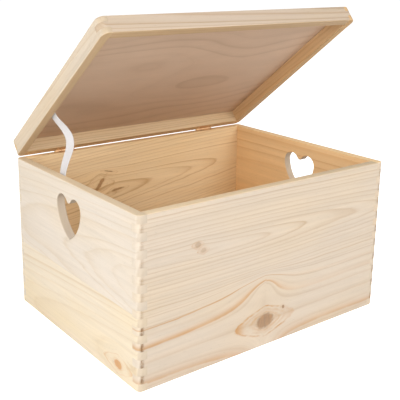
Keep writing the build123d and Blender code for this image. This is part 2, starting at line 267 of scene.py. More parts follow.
def tape_finish():
    material, tree, shader = new_finish("ribbon_white")
    layout = tree.nodes.new("ShaderNodeUVMap")
    layout.uv_map = "tape"
    parts = tree.nodes.new("ShaderNodeSeparateXYZ")
    tree.links.new(layout.outputs[0], parts.inputs[0])
    across, along = parts.outputs[0], parts.outputs[1]
    rib = work_out(tree, "COSINE", times(tree, along, 2 * math.pi / tape_rib_pitch))
    strand = work_out(tree, "COSINE", times(tree, across, 2 * math.pi / 0.00042))
    thread = times(tree, strand, scaled(tree, rib, 0.5, 0.5))
    fuzz = cloudy(tree, join_axes(tree, times(tree, across, 900.0), times(tree, along, 400.0), 0.0), 3.0,
                  0.7)
    # The colour follows the weft ribs and is darker in the grooves between them: painted shade. The fuzz
    # term is the yarn's own uneven tone.
    shade = scaled(tree, rib, 0.16, scaled(tree, fuzz, 0.3, 0.62), clamp=True)
    colour = blend_colours(tree, shade, tone(190, 186, 188), tone(232, 229, 228))
    tree.links.new(colour, shader.inputs["Base Color"])
    rough = scaled(tree, fuzz, 0.15, 0.52)
    tree.links.new(rough, shader.inputs["Roughness"])
    shader.inputs["Sheen Weight"].default_value = 0.25
    shader.inputs["Sheen Roughness"].default_value = 0.4
    raise_surface(tree, shader, plus(tree, thread, times(tree, fuzz, 0.8)), 0.00005)
    return material


tape_line = smooth_line("ribbon_line", tape_route)
tape_steps, tape_run = even_steps(tape_line, tape_rib_pitch / 6)
ribbon = weave_tape("stay_ribbon_woven", tape_steps, tape_run)
ribbon.data.materials.append(tape_finish())
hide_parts("stay_ribbon")
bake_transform(ribbon)


# ---------------------------------------------------------------------------------------------
# Studio.  A plain pale floor and soft white light: a broad lamp high on the left, which makes
# the left wall the brightest face, a weaker one in front, and even light from all round.
floor_half = 4.0
floor_colour = tone(250, 250, 250)


def lay_floor():
    mesh = bpy.data.meshes.new("studio_floor")
    rows = 8
    grid = [(-floor_half + 2 * floor_half * i / rows, -floor_half + 2 * floor_half * j / rows, -0.0004)
            for j in range(rows + 1) for i in range(rows + 1)]
    faces = [(j * (rows + 1) + i, j * (rows + 1) + i + 1, (j + 1) * (rows + 1) + i + 1,
              (j + 1) * (rows + 1) + i) for j in range(rows) for i in range(rows)]
    mesh.from_pydata(grid, [], faces)
    floor = bpy.data.objects.new("studio_floor", mesh)
    bpy.context.scene.collection.objects.link(floor)
    material, tree, shader = new_finish("studio_floor")
    place = tree.nodes.new("ShaderNodeTexCoord")
    soft = cloudy(tree, place.outputs["Object"], 1.0)
    colour = blend_colours(tree, soft, floor_colour, tone(247, 247, 247))
    tree.links.new(colour, shader.inputs["Base Color"])
    shader.inputs["Roughness"].default_value = 0.9
    shader.inputs["Specular IOR Level"].default_value = 0.1
    shader.inputs["Emission Color"].default_value = (1, 1, 1, 1)
    paths = tree.nodes.new("ShaderNodeLightPath")
    glow = scaled(tree, paths.outputs["Is Camera Ray"], 0.9, 0.0)
    tree.links.new(glow, shader.inputs["Emission Strength"])
    mesh.materials.append(material)


def hang_lamp(name, place, aim, size, power, colour=(1, 1, 1)):
    lamp = bpy.data.lights.new(name, "AREA")
    lamp.shape = "RECTANGLE"
    lamp.size, lamp.size_y = size
    lamp.energy = power
    lamp.color = colour
    holder = bpy.data.objects.new(name, lamp)
    holder.location = place
    holder.rotation_euler = (Vector(aim) - Vector(place)).to_track_quat("-Z", "Y").to_euler()
    bpy.context.scene.collection.objects.link(holder)


def light_room():
    world = bpy.data.worlds.new("studio_room")
    bpy.context.scene.world = world
    world.use_nodes = True
    tree = world.node_tree
    tree.nodes.clear()
    paths = tree.nodes.new("ShaderNodeLightPath")
    room = tree.nodes.new("ShaderNodeBackground")
    room.inputs["Color"].default_value = (0.97, 0.985, 1.0, 1)
    room.inputs["Strength"].default_value = 0.35
    seen = tree.nodes.new("ShaderNodeBackground")
    seen.inputs["Color"].default_value = (1, 1, 1, 1)
    seen.inputs["Strength"].default_value = 1.05
    mix = tree.nodes.new("ShaderNodeMixShader")
    out = tree.nodes.new("ShaderNodeOutputWorld")
    tree.links.new(paths.outputs["Is Camera Ray"], mix.inputs[0])
    tree.links.new(room.outputs[0], mix.inputs[1])
    tree.links.new(seen.outputs[0], mix.inputs[2])
    tree.links.new(mix.outputs[0], out.inputs[0])


lay_floor()
light_room()
hang_lamp("lamp_left", (-2.0, -0.5, 0.75), (0, 0, 0.18), (1.4, 1.2), 28.0)
hang_lamp("lamp_front", (0.6, -2.1, 0.9), (0, 0, 0.18), (1.8, 1.2), 14.0)
hang_lamp("lamp_front_high", (0.5, -1.7, 1.5), (0, 0, 0.18), (1.6, 1.2), 17.0)
hang_lamp("lamp_behind", (1.4, 2.2, 1.6), (0, 0, 0.18), (1.6, 1.2), 7.0)
bpy.context.scene.view_settings.view_transform = "Standard"


# ---------------------------------------------------------------------------------------------
# Front wall.  One wide pine board, planed and sanded, unfinished.  Its fingers are glued
# between those of the two end walls.  It holds the big live knot low down, whose rings push the
# grain up into a dark wave, and flat-sawn tongues of grain run out to the right above it.
def new_group(name, numbers, gives, colours=(), gives_colours=()):
    """An empty shader node group with its named inputs and outputs."""
    tree = bpy.data.node_groups.new(name, "ShaderNodeTree")
    for socket, start in numbers:
        made = tree.interface.new_socket(socket, in_out="INPUT", socket_type="NodeSocketFloat")
        made.default_value = start
    for sockets, side, kind in ((colours, "INPUT", "Color"), (gives_colours, "OUTPUT", "Color"),
                                (gives, "OUTPUT", "Float")):
        for socket in sockets:
            tree.interface.new_socket(socket, in_out=side, socket_type="NodeSocket" + kind)
    return tree, tree.nodes.new("NodeGroupInput").outputs, tree.nodes.new("NodeGroupOutput")


def ring_profile(tree, share, ends, stops):
    """How dark a ring is across its width; at both ends it has the value ends."""
    ramp = tree.nodes.new("ShaderNodeValToRGB")
    for stop in ramp.color_ramp.elements:
        stop.color = (ends, ends, ends, 1)
    for position, value in stops:
        stop = ramp.color_ramp.elements.new(position)
        stop.color = (value, value, value, 1)
    tree.links.new(share, ramp.inputs[0])
    return ramp.outputs[0]


def knot_pattern():
    """Grain pushed aside by a knot, with masks of its heart, its bark ring and its eye."""
    tree, at, out = new_group("pine_knot", (("Along", 0.0), ("Across", 0.0), ("Depth", 0.0),
                                            ("Knot Along", 0.0), ("Knot Across", 0.0),
                                            ("Half Length", 0.01), ("Half Height", 0.01), ("Slant", 0.0),
                                            ("Ragged", 0.5), ("Push", 0.5), ("Heart Strength", 1.0),
                                            ("Reach Before", 0.03), ("Reach After", 0.03),
                                            ("Reach Across", 0.05), ("Eye Length", 0.04),
                                            ("Eye Height", 0.02), ("Eye Strength", 0.6)),
                              ("Across", "Heart", "Bark", "Eye Line"))
    along = minus(tree, at["Along"], at["Knot Along"])
    across = minus(tree, at["Across"], at["Knot Across"])
    rough = cloudy(tree, join_axes(tree, times(tree, along, 130.0), times(tree, across, 190.0),
                                   times(tree, at["Depth"], 60.0)), 3.0)
    after = work_out(tree, "GREATER_THAN", along, 0.0)
    reach = scaled(tree, after, minus(tree, at["Reach After"], at["Reach Before"]), at["Reach Before"])
    away = work_out(tree, "SQRT", scaled(tree, along, along, 0.00004))
    fade = work_out(tree, "EXPONENT", times(tree, work_out(tree, "DIVIDE", away, reach), -1.0))
    rise = work_out(tree, "POWER", work_out(tree, "ABSOLUTE", work_out(
        tree, "DIVIDE", across, at["Reach Across"])), 8.0)
    hold = work_out(tree, "EXPONENT", times(tree, rise, -1.0))
    shift = times(tree, times(tree, across, at["Push"]), times(tree, fade, hold))
    tree.links.new(minus(tree, at["Across"], shift), out.inputs["Across"])
    wobble = times(tree, minus(tree, rough, 0.5), at["Ragged"])
    leaning = minus(tree, along, times(tree, across, at["Slant"]))
    span = work_out(tree, "POWER", work_out(tree, "DIVIDE", leaning, at["Half Length"]), 2.0)
    drop = work_out(tree, "POWER", work_out(tree, "DIVIDE", across, at["Half Height"]), 2.0)
    from_heart = plus(tree, work_out(tree, "SQRT", plus(tree, span, drop)), wobble)
    heart = minus(tree, 1.0, times(tree, minus(tree, from_heart, 0.8), 3.5, clamp=True), clamp=True)
    heart = times(tree, heart, at["Heart Strength"])
    tree.links.new(heart, out.inputs["Heart"])
    bark = minus(tree, 1.0, times(tree, work_out(tree, "ABSOLUTE", minus(tree, from_heart, 1.2)), 2.6,
                                  clamp=True))
    tree.links.new(bark, out.inputs["Bark"])
    length = work_out(tree, "POWER", work_out(tree, "ABSOLUTE", work_out(
        tree, "DIVIDE", along, at["Eye Length"])), 1.15)
    height = work_out(tree, "POWER", work_out(tree, "ABSOLUTE", work_out(
        tree, "DIVIDE", across, at["Eye Height"])), 1.5)
    round_eye = scaled(tree, wobble, 0.35, plus(tree, length, height))
    uneven = times(tree, minus(tree, cloudy(tree, join_axes(tree, times(tree, along, 55.0),
                                                            times(tree, across, 70.0), 0.0)), 0.34), 3.2,
                   clamp=True)
    line = 0.0
    for size, sharp, weight in ((1.0, 8.0, 1.0), (0.72, 9.0, 0.35), (0.47, 10.0, 0.45)):
        band = minus(tree, 1.0, times(tree, work_out(tree, "ABSOLUTE", minus(tree, round_eye, size)), sharp,
                                      clamp=True))
        line = scaled(tree, band, weight, line, clamp=True)
    before = work_out(tree, "LESS_THAN", along, 0.0)
    tip = times(tree, times(tree, minus(tree, length, 0.62), 3.0, clamp=True),
                work_out(tree, "LESS_THAN", round_eye, 1.05))
    tip = times(tree, tip, scaled(tree, before, 0.5, 0.3))
    line = work_out(tree, "MAXIMUM", times(tree, line, uneven), tip)
    line = times(tree, line, at["Eye Strength"])
    tree.links.new(line, out.inputs["Eye Line"])
    return tree


def ring_pattern():
    """Growth rings round a leaning pith line: pale early wood that darkens, then stops short."""
    tree, at, out = new_group("pine_rings", (("Along", 0.0), ("Across", 0.0), ("Depth", 0.0),
                                             ("Pith Across", 0.0), ("Pith Depth", 0.05),
                                             ("Lean Across", 0.0), ("Lean Depth", 0.0),
                                             ("Ring Width", 0.005), ("Wander", 0.002), ("Wide From", 1.0),
                                             ("Wide Share", 0.3), ("Seed", 0.0)), ("Late", "Ring Tone"))
    slow = join_axes(tree, scaled(tree, at["Along"], 9.0, at["Seed"]), times(tree, at["Across"], 22.0),
                     times(tree, at["Depth"], 22.0))
    quick = join_axes(tree, scaled(tree, at["Along"], 45.0, at["Seed"]), times(tree, at["Across"], 160.0),
                      times(tree, at["Depth"], 60.0))
    sway = times(tree, minus(tree, cloudy(tree, slow), 0.5), at["Wander"])
    shiver = times(tree, minus(tree, cloudy(tree, quick), 0.5), times(tree, at["Wander"], 0.22))
    sway = plus(tree, sway, shiver)
    across = minus(tree, minus(tree, at["Across"], at["Pith Across"]),
                   times(tree, at["Along"], at["Lean Across"]))
    across = plus(tree, across, sway)
    depth = minus(tree, minus(tree, at["Depth"], at["Pith Depth"]),
                  times(tree, at["Along"], at["Lean Depth"]))
    depth = plus(tree, depth, sway)
    distance = work_out(tree, "SQRT", plus(tree, times(tree, across, across), times(tree, depth, depth)))
    beyond = work_out(tree, "MAXIMUM", minus(tree, distance, at["Wide From"]), 0.0)
    spared = times(tree, beyond, minus(tree, 1.0, at["Wide Share"]))
    distance = minus(tree, distance, spared)
    rings = work_out(tree, "DIVIDE", distance, at["Ring Width"])
    years = tree.nodes.new("ShaderNodeTexNoise")
    years.noise_dimensions = "1D"
    years.inputs["Scale"].default_value = 0.45
    years.inputs["Detail"].default_value = 1.0
    tree.links.new(plus(tree, rings, at["Seed"]), years.inputs["W"])
    rings = plus(tree, rings, times(tree, years.outputs[0], 1.3))
    late = ring_profile(tree, work_out(tree, "FRACT", rings), 0.35,
                        ((0.05, 0.06), (0.4, 0.0), (0.68, 0.16), (0.86, 0.62), (0.94, 1.0)))
    year = tree.nodes.new("ShaderNodeTexWhiteNoise")
    year.noise_dimensions = "1D"
    tree.links.new(plus(tree, work_out(tree, "FLOOR", rings), at["Seed"]), year.inputs["W"])
    tree.links.new(late, out.inputs["Late"])
    tree.links.new(year.outputs["Value"], out.inputs["Ring Tone"])
    return tree


def resin_streak():
    """One long resinous ring: a thin dark lower edge that fades upwards, as broad as it is given."""
    tree, at, out = new_group("pine_resin_streak", (("Along", 0.0), ("Across", 0.0), ("Line Across", 0.0),
                                                    ("Rise", 0.0), ("Fade Above", 0.004),
                                                    ("Fade Below", 0.0008), ("Strength", 0.5),
                                                    ("Weak After", 1.0), ("Seed", 0.0)), ("Streak",))
    waver = cloudy(tree, join_axes(tree, scaled(tree, at["Along"], 26.0, at["Seed"]),
                                   times(tree, at["Across"], 20.0), 0.0), 3.0)
    above = minus(tree, minus(tree, at["Across"], at["Line Across"]), times(tree, at["Along"], at["Rise"]))
    above = scaled(tree, minus(tree, waver, 0.5), 0.003, above)
    upper = work_out(tree, "DIVIDE", work_out(tree, "MAXIMUM", above, 0.0), at["Fade Above"])
    lower = work_out(tree, "DIVIDE", work_out(tree, "MINIMUM", above, 0.0), at["Fade Below"])
    far = plus(tree, upper, work_out(tree, "ABSOLUTE", lower))
    band = work_out(tree, "EXPONENT", times(tree, times(tree, far, far), -1.0))
    patchy = scaled(tree, waver, 1.1, 0.35, clamp=True)
    strong = scaled(tree, minus(tree, at["Weak After"], at["Along"]), 22.0, 0.5, clamp=True)
    patchy = times(tree, patchy, scaled(tree, strong, 0.75, 0.25))
    streak = times(tree, times(tree, band, patchy), at["Strength"])
    tree.links.new(streak, out.inputs["Streak"])
    return tree


def sanded_pine():
    """Colour, roughness and height of planed pine from its ring and knot masks."""
    tree, at, out = new_group("pine_sanded", (("Along", 0.0), ("Across", 0.0), ("Depth", 0.0),
                                              ("Late", 0.0), ("Ring Tone", 0.5), ("Line Strength", 0.5),
                                              ("Heart", 0.0), ("Bark", 0.0), ("Eye Line", 0.0),
                                              ("Streak", 0.0), ("Torn Corner", 0.0), ("Handled", 0.0),
                                              ("End Grain", 0.0), ("Seed", 0.0)), ("Roughness", "Height"),
                              ("Early Colour", "Late Colour", "Patch Colour", "Knot Colour", "Bark Colour",
                               "End Colour"), ("Color",))

    def stretched(along, across, seed_step):
        return join_axes(tree, scaled(tree, at["Along"], along, at["Seed"]),
                         scaled(tree, at["Across"], across, seed_step), times(tree, at["Depth"], across))

    fibre = cloudy(tree, stretched(22.0, 1500.0, 0.0), 2.0, 0.6)
    streak = cloudy(tree, stretched(5.0, 210.0, 3.7), 3.0, 0.6)
    patch = cloudy(tree, stretched(5.0, 14.0, 8.1), 2.0, 0.5)
    pore = cloudy(tree, stretched(150.0, 1700.0, 5.3), 1.0, 0.5)
    pore = times(tree, minus(tree, pore, 0.66), 9.0, clamp=True)
    strength = times(tree, at["Line Strength"], scaled(tree, at["Ring Tone"], 0.9, 0.35))
    line = times(tree, at["Late"], strength, clamp=True)
    line = times(tree, line, scaled(tree, at["End Grain"], -0.75, 1.0))
    patchy = times(tree, minus(tree, patch, 0.42), 2.2, clamp=True)
    colour = blend_colours(tree, patchy, at["Early Colour"], at["Patch Colour"])
    colour = blend_colours(tree, line, colour, at["Late Colour"])
    colour = blend_colours(tree, at["Streak"], colour, at["Bark Colour"])
    streaky = scaled(tree, streak, 0.22, 0.89)
    hair = scaled(tree, fibre, 0.12, 0.94)
    shade = times(tree, streaky, hair)
    shade = times(tree, shade, scaled(tree, pore, -0.16, 1.0))
    shade = scaled(tree, minus(tree, 0.96, shade), times(tree, at["End Grain"], 0.85), shade)
    colour = blend_colours(tree, 1.0, colour, join_axes(tree, shade, shade, shade), "MULTIPLY")
    end = blend_colours(tree, 1.0, colour, at["End Colour"], "MULTIPLY")
    colour = blend_colours(tree, at["End Grain"], colour, end)
    colour = blend_colours(tree, at["Eye Line"], colour, at["Bark Colour"])
    colour = blend_colours(tree, times(tree, at["Bark"], 0.22), colour, at["Bark Colour"])
    mottle = cloudy(tree, join_axes(tree, times(tree, at["Along"], 320.0), times(tree, at["Across"], 260.0),
                                    times(tree, at["Depth"], 90.0)), 4.0, 0.65)
    speckle = times(tree, minus(tree, mottle, 0.36), 3.4, clamp=True)
    heart = blend_colours(tree, speckle, at["Knot Colour"], at["Bark Colour"])
    heart = blend_colours(tree, 0.5, at["Knot Colour"], heart)
    colour = blend_colours(tree, times(tree, at["Heart"], 0.86), colour, heart)
    torn = times(tree, at["Torn Corner"], times(tree, minus(tree, mottle, 0.30), 4.2, clamp=True))
    colour = blend_colours(tree, torn, colour, tone(134, 98, 60))
    # Painted light: under the rim mask, the colour is lightened halfway to a pale cream.
    painted_light_colour = blend_colours(tree, 0.5, colour, tone(255, 226, 176))
    colour = blend_colours(tree, at["Handled"], colour, painted_light_colour)
    tree.links.new(colour, out.inputs["Color"])
    rough = scaled(tree, fibre, 0.16, 0.56)
    rough = minus(tree, rough, times(tree, line, 0.12))
    rough = scaled(tree, at["End Grain"], 0.14, rough)
    rough = scaled(tree, at["Heart"], -0.14, rough)
    tree.links.new(rough, out.inputs["Roughness"])
    height = scaled(tree, fibre, 0.45, times(tree, line, 0.6))
    height = scaled(tree, pore, -0.5, height)
    height = scaled(tree, at["Heart"], 0.5, height)
    height = scaled(tree, torn, -1.5, height)
    tree.links.new(height, out.inputs["Height"])
    return tree


def place_group(tree, group, **values):
    """A node of a group, with its inputs set by name (spaces written as underscores)."""
    node = tree.nodes.new("ShaderNodeGroup")
    node.node_tree = group
    for name, value in values.items():
        plug(tree, node.inputs[name.replace("_", " ")], value)
    return node


knot_group = knot_pattern()
ring_group = ring_pattern()
streak_group = resin_streak()
pine_group = sanded_pine()
lid_angle = math.radians(38.2)
hinge_line = Vector((0.0, 0.1503, 0.21015))
# Heights beyond which the rim faces are painted lighter: painted light on the wall tops and lid rail faces.
wall_painted_light_above = 0.2089
lid_painted_light_below, lid_painted_light_above = 0.2112, 0.2313
joint_seam = 0.1953
joint_torn_below = 0.088
# Painted shade: a darker, warmer tint multiplied into the lid rails' downward faces.
rail_underside_painted_shade = (0.74, 0.66, 0.58)


def object_axes(tree, on_lid):
    """The X, Y and Z of a spot and of the way its face looks, as they are when the lid is shut."""
    place = tree.nodes.new("ShaderNodeTexCoord")
    outputs = []
    for output, kind in (("Object", "POINT"), ("Normal", "VECTOR")):
        socket = place.outputs[output]
        if on_lid:
            turn = tree.nodes.new("ShaderNodeMapping")
            turn.vector_type = kind
            turn.inputs["Rotation"].default_value = (lid_angle, 0, 0)
            if kind == "POINT":
                swung = Matrix.Rotation(lid_angle, 3, "X") @ hinge_line
                turn.inputs["Location"].default_value = hinge_line - swung
            tree.links.new(socket, turn.inputs[0])
            socket = turn.outputs[0]
        parts = tree.nodes.new("ShaderNodeSeparateXYZ")
        tree.links.new(socket, parts.inputs[0])
        outputs.append(parts.outputs)
    return outputs


def board_axes(tree, grain, on_lid):
    """Along the grain, up the board and through it, with masks of end grain and of undersides (the
    undersides take painted shade on the lid rails).
    """
    spot, facing = object_axes(tree, on_lid)
    first, through = ("X", "Y") if grain == "X" else ("Y", "X")
    end = times(tree, minus(tree, work_out(tree, "ABSOLUTE", facing[first]), 0.35), 3.0, clamp=True)
    shaded_underside = times(tree, minus(tree, -0.5, facing["Z"]), 3.0, clamp=True)
    return spot[first], spot["Z"], spot[through], end, shaded_underside


def pine_finish(name, grain, early, late, patch, pith, lean, ring_width, wander, strength, seed,
                knots=(), streaks=(), torn=(0.0, 0.0), wide=(1.0, 0.3), on_lid=False,
                end=(0.955, 0.915, 0.855), knot_colour=tone(150, 118, 90), bark_colour=tone(196, 146, 92)):
    """One board's own cut of pine.  pith is (across, depth), lean its slope along the board."""
    material, tree, shader = new_finish(name)
    along, across, depth, end_grain, shaded_underside = board_axes(tree, grain, on_lid)
    masks = {"Heart": 0.0, "Bark": 0.0, "Eye Line": 0.0}
    pushed = across
    for knot in knots:
        node = place_group(tree, knot_group, Along=along, Across=pushed, Depth=depth, **knot)
        for mask in masks:
            masks[mask] = work_out(tree, "MAXIMUM", masks[mask], node.outputs[mask])
        pushed = node.outputs["Across"]
    resin = 0.0
    for streak in streaks:
        node = place_group(tree, streak_group, Along=along, Across=pushed, Seed=seed, **streak)
        resin = work_out(tree, "MAXIMUM", resin, node.outputs[0])
    rings = place_group(tree, ring_group, Along=along, Across=pushed, Depth=depth, Pith_Across=pith[0],
                        Pith_Depth=pith[1], Lean_Across=lean[0], Lean_Depth=lean[1], Ring_Width=ring_width,
                        Wander=wander, Wide_From=wide[0], Wide_Share=wide[1], Seed=seed)
    # Painted light: the wall tops, and the top and bottom faces of the lid rails, are masked here to be
    # painted lighter.
    low, high = (lid_painted_light_below, lid_painted_light_above) if on_lid else (-1.0, wall_painted_light_above)
    painted_rim_light = times(tree, minus(tree, across, high), 900.0, clamp=True)
    painted_rim_light = plus(tree, painted_rim_light, times(tree, minus(tree, low, across), 900.0, clamp=True))
    near_end = minus(tree, 1.0, times(tree, work_out(tree, "ABSOLUTE",
                                                     minus(tree, work_out(tree, "ABSOLUTE", along),
                                                           joint_seam)), 260.0, clamp=True))
    low_down = times(tree, minus(tree, joint_torn_below, across), 100.0, clamp=True)
    low_down = work_out(tree, "MAXIMUM", low_down, times(tree, work_out(tree, "GREATER_THAN", along, 0.0),
                                                         0.7))
    ripped = times(tree, near_end, scaled(tree, low_down, torn[1] - torn[0], torn[0]))
    ripped = times(tree, ripped, minus(tree, 1.0, end_grain))
    wood = place_group(tree, pine_group, Along=along, Across=pushed, Depth=depth,
                       Late=rings.outputs["Late"], Ring_Tone=rings.outputs["Ring Tone"],
                       Line_Strength=strength, Heart=masks["Heart"], Bark=masks["Bark"],
                       Eye_Line=masks["Eye Line"], Streak=resin, Torn_Corner=ripped, Handled=painted_rim_light,
                       End_Grain=end_grain, Seed=seed,
                       Early_Colour=early, Late_Colour=late, Patch_Colour=patch,
                       Knot_Colour=knot_colour, Bark_Colour=bark_colour, End_Colour=end)
    colour = wood.outputs["Color"]
    # Painted shade: on the lid, faces that look down are multiplied by a darker, warmer tint.
    if on_lid:
        painted_underside_shade = blend_colours(tree, 1.0, colour, rail_underside_painted_shade, "MULTIPLY")
        colour = blend_colours(tree, shaded_underside, colour, painted_underside_shade)
    tree.links.new(colour, shader.inputs["Base Color"])
    tree.links.new(wood.outputs["Roughness"], shader.inputs["Roughness"])
    shader.inputs["Specular IOR Level"].default_value = 0.35
    raise_surface(tree, shader, wood.outputs["Height"], 0.00012)
    return material


def small_knot(along, across, half_length, half_height, push, reach, eye, **more):
    """A knot that pushes the grain equally on all its sides.  eye is its (length, height)."""
    return dict(Knot_Along=along, Knot_Across=across, Half_Length=half_length, Half_Height=half_height,
                Push=push, Reach_Before=reach, Reach_After=reach, Reach_Across=reach, Eye_Length=eye[0],
                Eye_Height=eye[1], **more)


def eased_board(node, body, finish, ease=0.0001):
    """A board as planed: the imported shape, merged, with every sharp arris just broken by sandpaper."""
    work = bmesh.new()
    work.from_mesh(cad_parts[node].data)
    bmesh.ops.remove_doubles(work, verts=work.verts, dist=0.00002)
    bmesh.ops.dissolve_limit(work, angle_limit=math.radians(0.6), verts=work.verts, edges=work.edges)
    mesh = bpy.data.meshes.new(node + "_planed")
    work.to_mesh(mesh)
    work.free()
    board = bpy.data.objects.new(node + "_planed", mesh)
    bpy.context.scene.collection.objects.link(board)
    mesh.shade_smooth()
    bevel = board.modifiers.new("broken_arris", "BEVEL")
    bevel.width = ease
    bevel.segments = 2
    bevel.limit_method = "ANGLE"
    bevel.angle_limit = math.radians(35)
    bevel.harden_normals = True
    bpy.context.view_layer.update()
    ready = bpy.data.meshes.new_from_object(board.evaluated_get(bpy.context.evaluated_depsgraph_get()))
    board.modifiers.clear()
    board.data = ready
    bpy.data.meshes.remove(mesh)
    ready.name = node + "_planed"
    ready.materials.clear()
    ready.materials.append(finish)
    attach(board, body)
    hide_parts(node)
    return board


front_finish = pine_finish("pine_front_wall", "X", tone(215, 199, 180), tone(186, 154, 117),
                           tone(219, 198, 169), pith=(0.1505, -0.1428), lean=(0.0, 0.065),
                           ring_width=0.0048, wander=0.004, strength=0.5, seed=4.0, wide=(0.076, 0.30),
                           # Its finger ends, on the end walls and round the corners, are painted lighter
                           # than the board: end grain with a painted highlight.
                           torn=(0.35, 1.0), end=(1.15, 1.18, 1.20),
                           streaks=(dict(Line_Across=0.0784, Rise=0.018, Fade_Above=0.0013,
                                         Fade_Below=0.0006, Strength=0.8, Weak_After=0.02),
                                    dict(Line_Across=0.0590, Rise=0.034, Fade_Above=0.0045,
                                         Fade_Below=0.0009, Strength=0.8, Weak_After=0.02),
                                    dict(Line_Across=0.0100, Rise=0.002, Fade_Above=0.0055,
                                         Fade_Below=0.0010, Strength=0.55)),
                           knots=(dict(Knot_Along=-0.0095, Knot_Across=0.0340, Half_Length=0.0150,
                                       Half_Height=0.0105, Push=1.02, Reach_Before=0.038, Reach_After=0.024,
                                       Reach_Across=0.061, Eye_Length=0.048, Eye_Height=0.0205,
                                       Eye_Strength=1.1, Ragged=0.7),
                                  small_knot(-0.1187, 0.1599, 0.0046, 0.0034, 0.6, 0.010, (0.009, 0.006),
                                             Heart_Strength=0.6),
                                  small_knot(-0.1106, 0.1526, 0.0042, 0.0030, 0.6, 0.010, (0.009, 0.006),
                                             Heart_Strength=0.5),
                                  small_knot(0.0215, 0.0420, 0.0022, 0.0018, 0.3, 0.005, (0.005, 0.004))))
eased_board("front_wall", "box", front_finish)


# ---------------------------------------------------------------------------------------------
# Rear wall.  One board like the front.  Inside it shows a torn knot with a dark resin streak on
# the left and nested tongues of grain that close towards the right; outside it carries hinges.
rear_finish = pine_finish("pine_rear_wall", "X", tone(244, 214, 169), tone(199, 153, 98),
                          tone(246, 210, 155), pith=(0.1450, 0.1557), lean=(0.09, 0.060), ring_width=0.0044,
                          wander=0.004, strength=0.6, seed=11.0, torn=(0.2, 0.6), end=(0.84, 0.99, 1.38),
                          knot_colour=tone(164, 118, 74), bark_colour=tone(196, 144, 84),
                          knots=(dict(Knot_Along=-0.0755, Knot_Across=0.1540, Half_Length=0.0038,
                                      Half_Height=0.0100, Slant=0.75, Ragged=1.4, Push=0.8,
                                      Reach_Before=0.02, Reach_After=0.02, Reach_Across=0.022,
                                      Eye_Length=0.024, Eye_Height=0.013),
                                 small_knot(-0.0600, 0.1660, 0.0075, 0.0010, 0.2, 0.01, (0.015, 0.004),
                                            Ragged=1.3),
                                 small_knot(-0.0445, 0.1435, 0.0100, 0.0015, 0.3, 0.01, (0.02, 0.005),
                                            Ragged=1.3)))
eased_board("rear_wall", "box", rear_finish)


# ---------------------------------------------------------------------------------------------
# Left end wall.  Two pine boards glued edge to edge; the upper one is whiter and carries the
# heart-shaped finger hole, the lower one is yellower, with a knot near the front corner.
left_upper_finish = pine_finish(
    "pine_left_upper", "Y", tone(226, 213, 197), tone(207, 184, 151), tone(229, 211, 185),
    pith=(0.132, -0.150), lean=(0.02, 0.10), ring_width=0.0075, wander=0.010, strength=0.45, seed=23.0,
    end=(0.89, 0.86, 0.82))
left_lower_finish = pine_finish(
    "pine_left_lower", "Y", tone(233, 218, 195), tone(207, 177, 133), tone(237, 216, 178),
    pith=(0.020, -0.146), lean=(-0.02, 0.06), ring_width=0.0070, wander=0.008, strength=0.42, seed=31.0,
    end=(0.835, 0.815, 0.83),
    knot_colour=tone(206, 148, 94), bark_colour=tone(214, 164, 104),
    knots=(dict(Knot_Along=-0.1070, Knot_Across=0.0170, Half_Length=0.0085, Half_Height=0.0055, Ragged=0.9,
                Push=0.85, Reach_Before=0.03, Reach_After=0.04, Reach_Across=0.026,
                Eye_Length=0.03, Eye_Height=0.012),))
eased_board("left_wall_upper_board", "box", left_upper_finish)
eased_board("left_wall_lower_board", "box", left_lower_finish)


# ---------------------------------------------------------------------------------------------
# Right end wall.  Two glued boards again, from a more resinous plank: its inside face is warm
# orange with a few long lines that part slowly from each other.
right_upper_finish = pine_finish(
    "pine_right_upper", "Y", tone(251, 214, 162), tone(214, 160, 97), tone(249, 203, 142),
    pith=(0.120, 0.260), lean=(0.05, 0.05), ring_width=0.0090, wander=0.010, strength=0.5, seed=43.0,
    end=(0.74, 0.87, 1.24))
right_lower_finish = pine_finish(
    "pine_right_lower", "Y", tone(243, 213, 167), tone(204, 157, 100), tone(245, 207, 154),
    pith=(0.030, 0.240), lean=(-0.03, 0.04), ring_width=0.0080, wander=0.008, strength=0.5, seed=57.0,
    end=(0.78, 0.88, 1.18))
eased_board("right_wall_upper_board", "box", right_upper_finish)
eased_board("right_wall_lower_board", "box", right_lower_finish)


# ---------------------------------------------------------------------------------------------
# Plywood bottom.  A 4 mm rotary-cut sheet let into a rabbet from below, sanded, unfinished.
# Its faces show broad, soft, wandering figure, and its cut edges the three crossed veneers.
sheet_thickness = 0.004
middle_veneer = 0.0016


